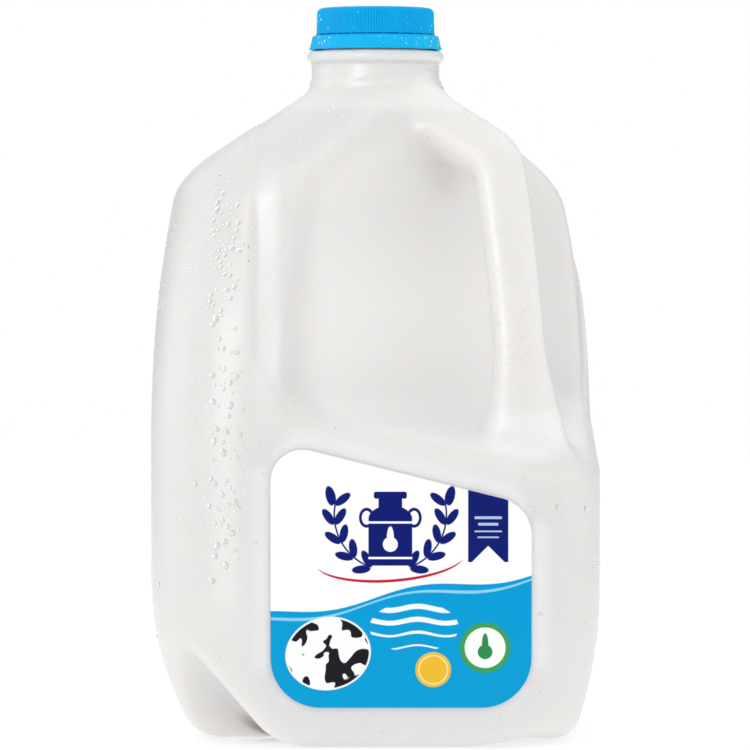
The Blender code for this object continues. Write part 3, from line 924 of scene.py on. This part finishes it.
hide_place = disc((-16.0, 33.0), (14.5, 12.5), 12.0)
hide_noise = node(tree, "TexNoise", {"Vector": flat, "Scale": 1.0 / HIDE_PATCH, "Detail": 1.0,
                                     "Distortion": 0.3})
hide_dark = node(tree, "MapRange", {"Value": hide_noise, "From Min": 0.505, "From Max": 0.515})
hide_patches = both(disc((-16.0, 33.0), (13.9, 11.9), 12.0), hide_dark)
ripple_angle = node(tree, "Math", {0: mm_across, 1: math.tau / RIPPLE_LENGTH}, operation="MULTIPLY")
ripple_wave = node(tree, "Math", {0: ripple_angle}, operation="SINE")
ripple_up = node(tree, "Math", {0: ripple_wave, 1: RIPPLE_HEIGHT, 2: mm_up}, operation="MULTIPLY_ADD")
ripple_gap = node(tree, "Math", {0: ripple_up, 1: RIPPLE_SPACING / 2.0}, operation="PINGPONG")
ripple_width = node(tree, "MapRange", {"Value": mm_up, "From Min": 38.0, "From Max": 44.0,
                                       "To Min": 0.35, "To Max": 0.95})
ripple_core = node(tree, "Math", {0: ripple_width, 1: 0.14}, operation="SUBTRACT")
ripple_line = node(tree, "MapRange", {"Value": ripple_gap, "From Min": ripple_width,
                                      "From Max": ripple_core})
ripples = both(ripple_line, disc((13.0, 42.0), (15.0, 8.5)))
print("hide patches about", HIDE_PATCH, "mm")

# %% [markdown]
# The inks go down in the order of printing, each over the last. The film is polypropylene, IOR 1.49,
# with a varnish of roughness near 0.3 and a faint unevenness where the glue pulled it. The varnish
# is a matt one that mirrors little of the white tent, so the inks keep their full colour.

# %% Inks
GLUE_PULL = 9.0

deeper = node(tree, "MapRange", {"Value": mm_up, "From Min": 14.0, "From Max": 60.0})
sky = node(tree, "Mix", {0: deeper, 6: linear("#06A0D6"), 7: linear("#009CD8")}, data_type="RGBA")
inks = [(blue_field, sky)]
inks += [(mask, linear(ink)) for mask, ink in (
    (pale_wave, "#8FD3F2"), (emblem, "#0B1B72"), (churn_bands, "#FFFFFF"), (churn_drop, "#FFFFFF"),
    (red_curve, "#C8203C"), (ribbon, "#0A1D70"), (ribbon_lines, "#B9C6E6"), (hide_place, "#FBFBFB"),
    (hide_patches, "#1D1C24"), (ripples, "#F4FAFD"), (ring_field, "#FAFDFA"), (ring, "#3FA05A"),
    (ring_drop, "#2F8F4C"), (sun, "#F0BE34"), (sun_line, "#FBE9A8"))]
pull = node(tree, "TexNoise", {"Vector": flat, "Scale": 1.0 / GLUE_PULL, "Detail": 2.0})
varnish = node(tree, "MapRange", {"Value": pull, "To Min": 0.26, "To Max": 0.38})
uneven = node(tree, "Bump", {"Distance": 0.00006, "Height": pull})
fill(shader, {"Base Color": layered(tree, linear("#FDFDFD"), inks), "Roughness": varnish, "IOR": 1.49,
              "Specular IOR Level": 0.06, "Normal": uneven})
print(len(inks), "inks,", len(tree.nodes), "nodes")


# %% The film
def film_sheet():
    """Back and front layers of the film, and a rim of faces that closes them."""
    layers = [under_label + label_out * lift for lift in (LABEL_GAP, LABEL_GAP + LABEL_THICKNESS)]
    points = np.concatenate(layers)
    half = len(under_label)
    grid = np.arange(half).reshape(LABEL_COLUMNS, LABEL_ROWS)
    a, b, c, d = grid[:-1, :-1], grid[1:, :-1], grid[1:, 1:], grid[:-1, 1:]
    front = np.stack([a, b, c, d], axis=-1).reshape(-1, 4) + half
    back = np.stack([d, c, b, a], axis=-1).reshape(-1, 4)
    rim = np.concatenate([grid[:, 0], grid[-1, 1:], grid[-2::-1, -1], grid[0, -2:0:-1]])
    ahead = np.roll(rim, -1)
    sides = np.stack([rim, ahead, ahead + half, rim + half], axis=1)
    return points, np.concatenate([front, back, sides])


film_points, film_faces = film_sheet()
film = put("label_film", film_points, film_faces, printed_film)
film.data.set_sharp_from_angle(angle=math.radians(40.0))
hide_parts("front_label")

# %% [markdown]
# ## Damp on a cold jug
#
# Cold milk makes the air's water settle on the plastic. It starts as a mist of tiny beads, and where
# it has been left alone they join into drops one or two millimetres across, which sag a little on
# an upright wall. HDPE sheds water, so a drop meets it at a steep angle. Particles could scatter
# them, but particles are lost when a model is exported, so the drops are real meshes: one mesh of
# drops and one of mist. Each point of a drop knows how near it is to the drop's edge.

# %% One drop
SUNK = 0.20                    # how far a drop goes into the wall, in base radii
SOLE = 0.96                    # base radius of what is sunk
HEAVY = 0.0010                 # base radius of a drop that sags fully


def drop_shape(rings, around, contact):
    """Radius, height, angle and nearness to the edge of a drop's points, base 1 wide, and its faces."""
    contact = math.radians(contact)
    bend = 1.0 / math.sin(contact)
    spokes = np.arange(around) * math.tau / around
    radius = [0.0]
    height = [bend * (1.0 - math.cos(contact))]
    angle = [0.0]
    edge = [0.0]
    for ring in range(1, rings + 1):
        polar = contact * ring / rings
        radius += [bend * math.sin(polar)] * around
        height += [bend * (math.cos(polar) - math.cos(contact))] * around
        angle += spokes.tolist()
        edge += [(ring / rings) ** 3] * around
    radius += [SOLE] * around + [0.0]
    height += [-SUNK] * (around + 1)
    angle += spokes.tolist() + [0.0]
    edge += [1.0] * (around + 1)
    faces = []
    bottom = 1 + rings * around
    for i in range(around):
        j = (i + 1) % around
        faces.append((0, 1 + i, 1 + j))
        for inner in range(1, bottom, around):
            outer = inner + around
            faces += [(inner + i, outer + i, outer + j), (inner + i, outer + j, inner + j)]
        faces.append((bottom + i, len(radius) - 1, bottom + j))
    return np.array(radius), np.array(height), np.array(angle), np.array(edge), np.array(faces)


def drops_mesh(drops, rings, around, contact):
    """A lot of drops as points, faces and edge values, each stretched and sagging down its wall."""
    centres, outs, sizes = drops
    radius, height, angle, edge, faces = drop_shape(rings, around, contact)
    count = len(centres)
    down = np.array([0.0, 0.0, -1.0]) - outs * (-outs[:, 2:3])
    on_level = np.linalg.norm(down, axis=1, keepdims=True) < 0.2
    down = np.where(on_level, np.cross(outs, [0.0, 1.0, 0.0]), down)
    down = down / np.linalg.norm(down, axis=1, keepdims=True)
    side = np.cross(outs, down)
    wobble = 1.0 + 0.10 * np.sin(2.0 * angle + chance.uniform(0.0, math.tau, (count, 1)))
    wobble = wobble + 0.05 * np.sin(3.0 * angle + chance.uniform(0.0, math.tau, (count, 1)))
    heavy = np.clip(sizes / HEAVY, 0.0, 1.0)[:, None]
    stretch = 1.0 + heavy * chance.uniform(0.0, 0.35, (count, 1))
    wide = radius * wobble * np.cos(angle)
    long = radius * wobble * np.sin(angle) * stretch + 0.30 * heavy * height
    flat_points = wide[:, :, None] * side[:, None, :] + long[:, :, None] * down[:, None, :]
    raised = height[None, :, None] * outs[:, None, :]
    points = centres[:, None, :] + sizes[:, None, None] * (flat_points + raised)
    all_faces = faces[None, :, :] + (np.arange(count) * len(radius))[:, None, None]
    # How strongly each point is painted with rim shade: full on large drops, faint on small ones.
    shown_edge = edge[None, :] * np.clip((sizes - 0.00025) / 0.00045, 0.1, 1.0)[:, None]
    return points.reshape(-1, 3), all_faces.reshape(-1, 3), shown_edge.ravel()


print("a drop of 4 rings and 12 sides has", len(drop_shape(4, 12, 66.0)[-1]), "faces")

# %% [markdown]
# Where the damp gathers isn't even. Large drops hang on the rounded corner left of the label. The
# mist is thickest there, on the step beside the recess and on the grip's front. Both are thinner on
# the rest, in patches that a slow noise gives. The recess and the label are clean.

# %% Where the damp gathers
PATCH = 0.030
LABEL_MARGIN = 0.0015
CORNER_STRIPE = (-0.0575, -0.0435, 0.045, 0.200)
GRIP_STRIPE = (0.0320, 0.0560, 0.110, 0.210)


def can_be_wet(points, outs):
    """1 where damp can settle, 0 in the recess, on the label, under the foot and under the cap."""
    x, y, z = points.T
    in_recess = rising(-side_field(x, y, z), 0.0030, 0.0015)
    free = 1.0 - in_recess * (1.0 - 0.8 * near_grip(points, 0.0012, 0.0008))
    low, high = label_span(np.clip(x, LABEL_LEFT, LABEL_RIGHT))
    beside = (x > LABEL_LEFT - LABEL_MARGIN) & (x < LABEL_RIGHT + LABEL_MARGIN) & (y < -0.05)
    on_label = beside & (z > low - LABEL_MARGIN) & (z < high + LABEL_MARGIN)
    free = np.where(on_label, 0.0, free)
    return free * rising(outs[:, 2], -0.6, 0.3) * falling(z, NECK_TOP - 0.002, 0.002)


corners = skin_points[skin_faces]
middles = corners.mean(axis=1)
areas = 0.5 * np.linalg.norm(np.cross(corners[:, 2] - corners[:, 0], corners[:, 3] - corners[:, 1]), axis=1)
free_of_damp = can_be_wet(middles, outward_at(middles))
slow = np.array([noise.noise(Vector(p) / PATCH) for p in middles]) * 0.5 + 0.5
patchy = rising(slow, 0.42, 0.22)
on_corner, on_step, on_grip_front = [upright_stripe(middles, *stripe)
                                     for stripe in (CORNER_STRIPE, STEP_STRIPE, GRIP_STRIPE)]
misty = np.maximum(on_corner, np.maximum(on_step, on_grip_front))
damp_for_large = free_of_damp * on_corner
damp_for_drops = free_of_damp * (0.12 + 0.45 * patchy + 1.6 * on_corner)
damp_for_mist = free_of_damp * (0.20 + 0.60 * patchy + 1.4 * misty)
print("damp area for mist, as full cover, mm2:", round(float((areas * damp_for_mist).sum() * 1e6)))

# %% [markdown]
# Each drop starts on a face chosen by its area and dampness, and slides onto the skin. The larger
# ones are set first, and one that would touch another is left out. On the cap a few drops cling to
# the skirt and the band.

# %% Scatter the drops
LARGE_DROPS = 150
SMALL_DROPS = 420
MIST_BEADS = 5400
CAP_DROPS = 110


def on_skin(count, damp):
    """Random places on the skin with their outward directions, more of them where it is damp."""
    weight = areas * damp
    chosen = chance.choice(len(middles), count, p=weight / weight.sum())
    points = settle(middles[chosen] + chance.uniform(-0.5, 0.5, (count, 3)) * CELL)
    return points, outward_at(points)


def on_cap(count):
    """Random places on the outside of the cap's skirt and band."""
    angle = chance.uniform(0.0, math.tau, count)
    low = chance.uniform(CAP_FLOOR + 0.0008, BAND_TOP - 0.0004, count)
    high = chance.uniform(SKIRT_BOTTOM + 0.0010, CAP_TOP - 0.0022, count)
    height = np.where(chance.random(count) < 0.6, low, high)
    up_the_band = (height - CAP_FLOOR) / (BAND_TOP - CAP_FLOOR)
    lean = BAND_BOTTOM_RADIUS - (BAND_BOTTOM_RADIUS - BAND_TOP_RADIUS) * up_the_band
    reach = np.where(height < BAND_TOP, lean, SKIRT_RADIUS - 0.0001)
    outs = np.stack([np.cos(angle), np.sin(angle), np.zeros(count)], axis=1)
    points = outs * reach[:, None]
    points[:, 2] = height
    return points, outs


def lot(count, typical, spread, smallest, largest, places, *damp):
    """A lot of drops: their places, outward directions and base radii, largest first."""
    sizes = np.clip(typical * np.exp(chance.normal(0.0, spread, count)), smallest, largest)
    return (*places(count, *damp), np.sort(sizes)[::-1])


def apart(drops, taken=np.full((1, 3), 9.0), taken_sizes=np.zeros(1)):
    """The drops of a lot that touch no place that is taken, and no larger drop of the lot."""
    kept = []
    for i, (centre, size) in enumerate(zip(drops[0], drops[2])):
        touching = np.linalg.norm(taken - centre, axis=1) < 1.15 * (taken_sizes + size)
        if not touching.any():
            kept.append(i)
            taken = np.vstack([taken, centre])
            taken_sizes = np.append(taken_sizes, size)
    return [column[kept] for column in drops]


def joined(*lots):
    """Lots of drops as one lot."""
    return [np.concatenate(columns) for columns in zip(*lots)]


large = lot(LARGE_DROPS, 0.00070, 0.28, 0.00042, 0.00115, on_skin, damp_for_large)
small = lot(SMALL_DROPS, 0.00046, 0.26, 0.00034, 0.00080, on_skin, damp_for_drops)
drops = apart(joined(large, small))
mist = lot(MIST_BEADS, 0.00025, 0.28, 0.00015, 0.00042, on_skin, damp_for_mist)
mist = apart(mist, drops[0], drops[2])
cap_drops = apart(lot(CAP_DROPS, 0.00028, 0.35, 0.00016, 0.00060, on_cap))
print("drops:", len(drops[0]), "mist:", len(mist[0]), "on the cap:", len(cap_drops[0]))

# %% [markdown]
# ## Water
#
# Clean water is clear, with IOR 1.333. A drop on a pale wall shows as a light middle in a dark rim,
# because its steep edge bends the light of the wall aside. So little of that is left at this size
# that the rim is also painted grey, a painted shade that grows with an attribute from the drop's top
# to its edge. The mist's beads are too small for a rim: they scatter light, and read as pale dots on
# the plastic.

# %% Water
TREMOR = 0.0006
MIST_CLOUDS = 0.004

clear_water, tree, shader, place = new_material("clear_water")
tremor = node(tree, "TexNoise", {"Vector": place, "Scale": 1.0 / TREMOR, "Detail": 1.0})
rippled = node(tree, "MapRange", {"Value": tremor, "To Min": 0.10, "To Max": 0.20})
edge_of_drop = node(tree, "Attribute", {}, attribute_name="edge_of_drop").outputs["Fac"]
# Painted shade: the drops' rims are laid towards grey.
painted_rim_shade = node(tree, "Mix", {0: edge_of_drop, 6: linear("#FFFFFF"), 7: linear("#8A8987")}, data_type="RGBA")
fill(shader, {"Base Color": painted_rim_shade, "Roughness": rippled, "IOR": 1.333, "Specular IOR Level": 0.22,
              "Transmission Weight": 1.0})

misted_water, tree, shader, place = new_material("misted_water")
density = node(tree, "TexNoise", {"Vector": place, "Scale": 1.0 / MIST_CLOUDS, "Detail": 1.0})
haze = node(tree, "Mix", {0: density, 6: linear("#FAFAFA"), 7: linear("#FFFFFF")}, data_type="RGBA")
fill(shader, {"Base Color": haze, "Roughness": 0.30, "IOR": 1.333, "Transmission Weight": 0.10})

points, faces, edges = drops_mesh(joined(drops, cap_drops), 4, 12, 66.0)
water_drops = put("water_drops", points, faces, clear_water)
water_drops.data.attributes.new("edge_of_drop", "FLOAT", "POINT").data.foreach_set("value", edges)
points, faces, edges = drops_mesh(mist, 2, 6, 56.0)
put("fine_condensation", points, faces, misted_water)

# %% [markdown]
# ## Floor, light and camera
#
# The floor is a plain sheet of white acrylic, lit from below. The light is soft from all round, as in
# a white tent that is a little brighter at the left. Low dark flags stand behind the jug on both
# sides of the backdrop, which draws its outline. A soft box front left gives the corner its bright
# stripe, and a leaning one carries the stripe on upwards, where the corner turns further away. A
# wide box at the left, a weak strip at the right and a box above are mirrored in the other bends.

# %% Floor
FLOOR_RADIUS = 3.2
FLOOR_MOTTLE = 0.003

floor_white, tree, shader, place = new_material("back_lit_white_acrylic")
mottle = node(tree, "TexNoise", {"Vector": place, "Scale": 1.0 / FLOOR_MOTTLE, "Detail": 2.0})
white = node(tree, "Mix", {0: mottle, 6: linear("#C8C8C8"), 7: linear("#CCCCCC")}, data_type="RGBA")
reach = node(tree, "VectorMath", {0: place}, operation="LENGTH")
fade = node(tree, "MapRange", {"Value": reach, "From Min": 3.0, "From Max": 0.5},
            interpolation_type="SMOOTHSTEP")
fill(shader, {"Base Color": white, "Roughness": 0.9, "Specular IOR Level": 0.1, "Alpha": fade,
              "Emission Color": linear("#FFFFFF"), "Emission Strength": 0.50})

floor_mesh = bmesh.new()
bmesh.ops.create_circle(floor_mesh, cap_ends=True, segments=96, radius=FLOOR_RADIUS)
mesh = bpy.data.meshes.new("floor")
floor_mesh.to_mesh(mesh)
floor_mesh.free()
mesh.materials.append(floor_white)
floor = bpy.data.objects.new("floor", mesh)
bpy.context.collection.objects.link(floor)
floor.location.z = min(0.0, float(cad_box[0][2])) - 0.0001
print("floor at", round(floor.location.z, 5))

# %% Light
LEFT_STRENGTH = 1.06
RIGHT_STRENGTH = 0.93
BACK_STRENGTH = 0.22

world = bpy.data.worlds.new("white_tent")
bpy.context.scene.world = world
world.use_nodes = True
tree = world.node_tree
towards = node(tree, "TexCoord", {}).outputs["Generated"]
axes = node(tree, "SeparateXYZ", {"Vector": towards})
low_down = node(tree, "MapRange", {"Value": axes.outputs["Z"], "From Min": 0.45, "From Max": 0.20},
                interpolation_type="SMOOTHSTEP")
behind = node(tree, "Math", {0: axes.outputs["Y"], 1: low_down}, operation="MULTIPLY")
tent = node(tree, "MapRange", {"Value": axes.outputs["X"], "From Min": -1.0,
                               "To Min": LEFT_STRENGTH, "To Max": RIGHT_STRENGTH})
flagged = node(tree, "MapRange", {"Value": behind, "From Min": 0.35, "From Max": 0.68,
                                  "To Min": tent, "To Max": BACK_STRENGTH},
               interpolation_type="SMOOTHSTEP")
backdrop = node(tree, "MapRange", {"Value": axes.outputs["Y"], "From Min": 0.95, "From Max": 0.985})
lit = node(tree, "Mix", {0: backdrop, 2: flagged, 3: 1.0})
from_camera = node(tree, "LightPath", {}).outputs["Is Camera Ray"]
seen = node(tree, "Mix", {0: from_camera, 2: lit, 3: 1.0})
fill(tree.nodes["Background"], {"Color": linear("#FFFFFF"), "Strength": seen})


def soft_box(name, azimuth, elevation, distance, width, height, watts, colour="#FFFFFF", lean=0.0):
    """A rectangular light that faces the jug; azimuth is in degrees to the right of the camera."""
    side = math.radians(azimuth)
    up = math.radians(elevation)
    middle = Vector((0.0, 0.0, 0.12))
    away = Vector((math.sin(side) * math.cos(up), -math.cos(side) * math.cos(up), math.sin(up)))
    data = bpy.data.lights.new(name, "AREA")
    data.shape = "RECTANGLE"
    data.size = width
    data.size_y = height
    data.energy = watts
    data.color = linear(colour)[:3]
    lamp = bpy.data.objects.new(name, data)
    lamp.location = middle + away * distance
    leaning = Quaternion((0.0, 0.0, 1.0), math.radians(lean))
    lamp.rotation_euler = (away.to_track_quat("Z", "Y") @ leaning).to_euler()
    lamp.visible_diffuse = False
    lamp.visible_camera = False
    lamp.visible_transmission = False
    bpy.context.collection.objects.link(lamp)
    print(name, "at", [round(c, 2) for c in lamp.location])


soft_box("front_left_box", -30.0, 0.0, 1.9, 0.86, 1.30, 19.0)
soft_box("leaning_box", -52.0, 36.0, 1.9, 0.55, 1.46, 7.0, lean=41.0)
soft_box("left_box", -95.0, 14.0, 1.9, 1.40, 1.40, 6.0, "#FAF6FF")
soft_box("right_strip", 46.0, 14.0, 1.9, 0.45, 1.40, 1.0)
soft_box("overhead_box", 0.0, 82.0, 1.6, 1.50, 1.50, 5.0)

# %% [markdown]
# The photograph was taken from straight in front of the labelled side, a little above the jug's
# middle, from about 1.8 m with a long lens. The camera looks down by 1.4 degrees.

# %% Camera
CAMERA_DISTANCE = 1.827
CAMERA_HEIGHT = 0.1704
FOCAL_PIXELS = 5195.0
PICTURE = 750.0
SENSOR = 36.0
LEVEL_ROW = 246.5
MIDDLE_COLUMN = 375.5

camera_data = bpy.data.cameras.new("camera")
camera_data.sensor_width = SENSOR
camera_data.lens = SENSOR * FOCAL_PIXELS / PICTURE
camera_data.shift_x = (PICTURE / 2.0 - MIDDLE_COLUMN) / PICTURE
camera_data.clip_end = 100.0
camera = bpy.data.objects.new("camera", camera_data)
camera.location = (0.0, -CAMERA_DISTANCE, CAMERA_HEIGHT)
tilt = math.atan((PICTURE / 2.0 - LEVEL_ROW) / FOCAL_PIXELS)
camera.rotation_euler = (math.pi / 2.0 - tilt, 0.0, 0.0)
bpy.context.collection.objects.link(camera)
bpy.context.scene.camera = camera
bpy.context.scene.view_settings.view_transform = "Standard"
print("lens", round(camera_data.lens, 1), "mm, tilt", round(math.degrees(tilt), 2), "degrees")
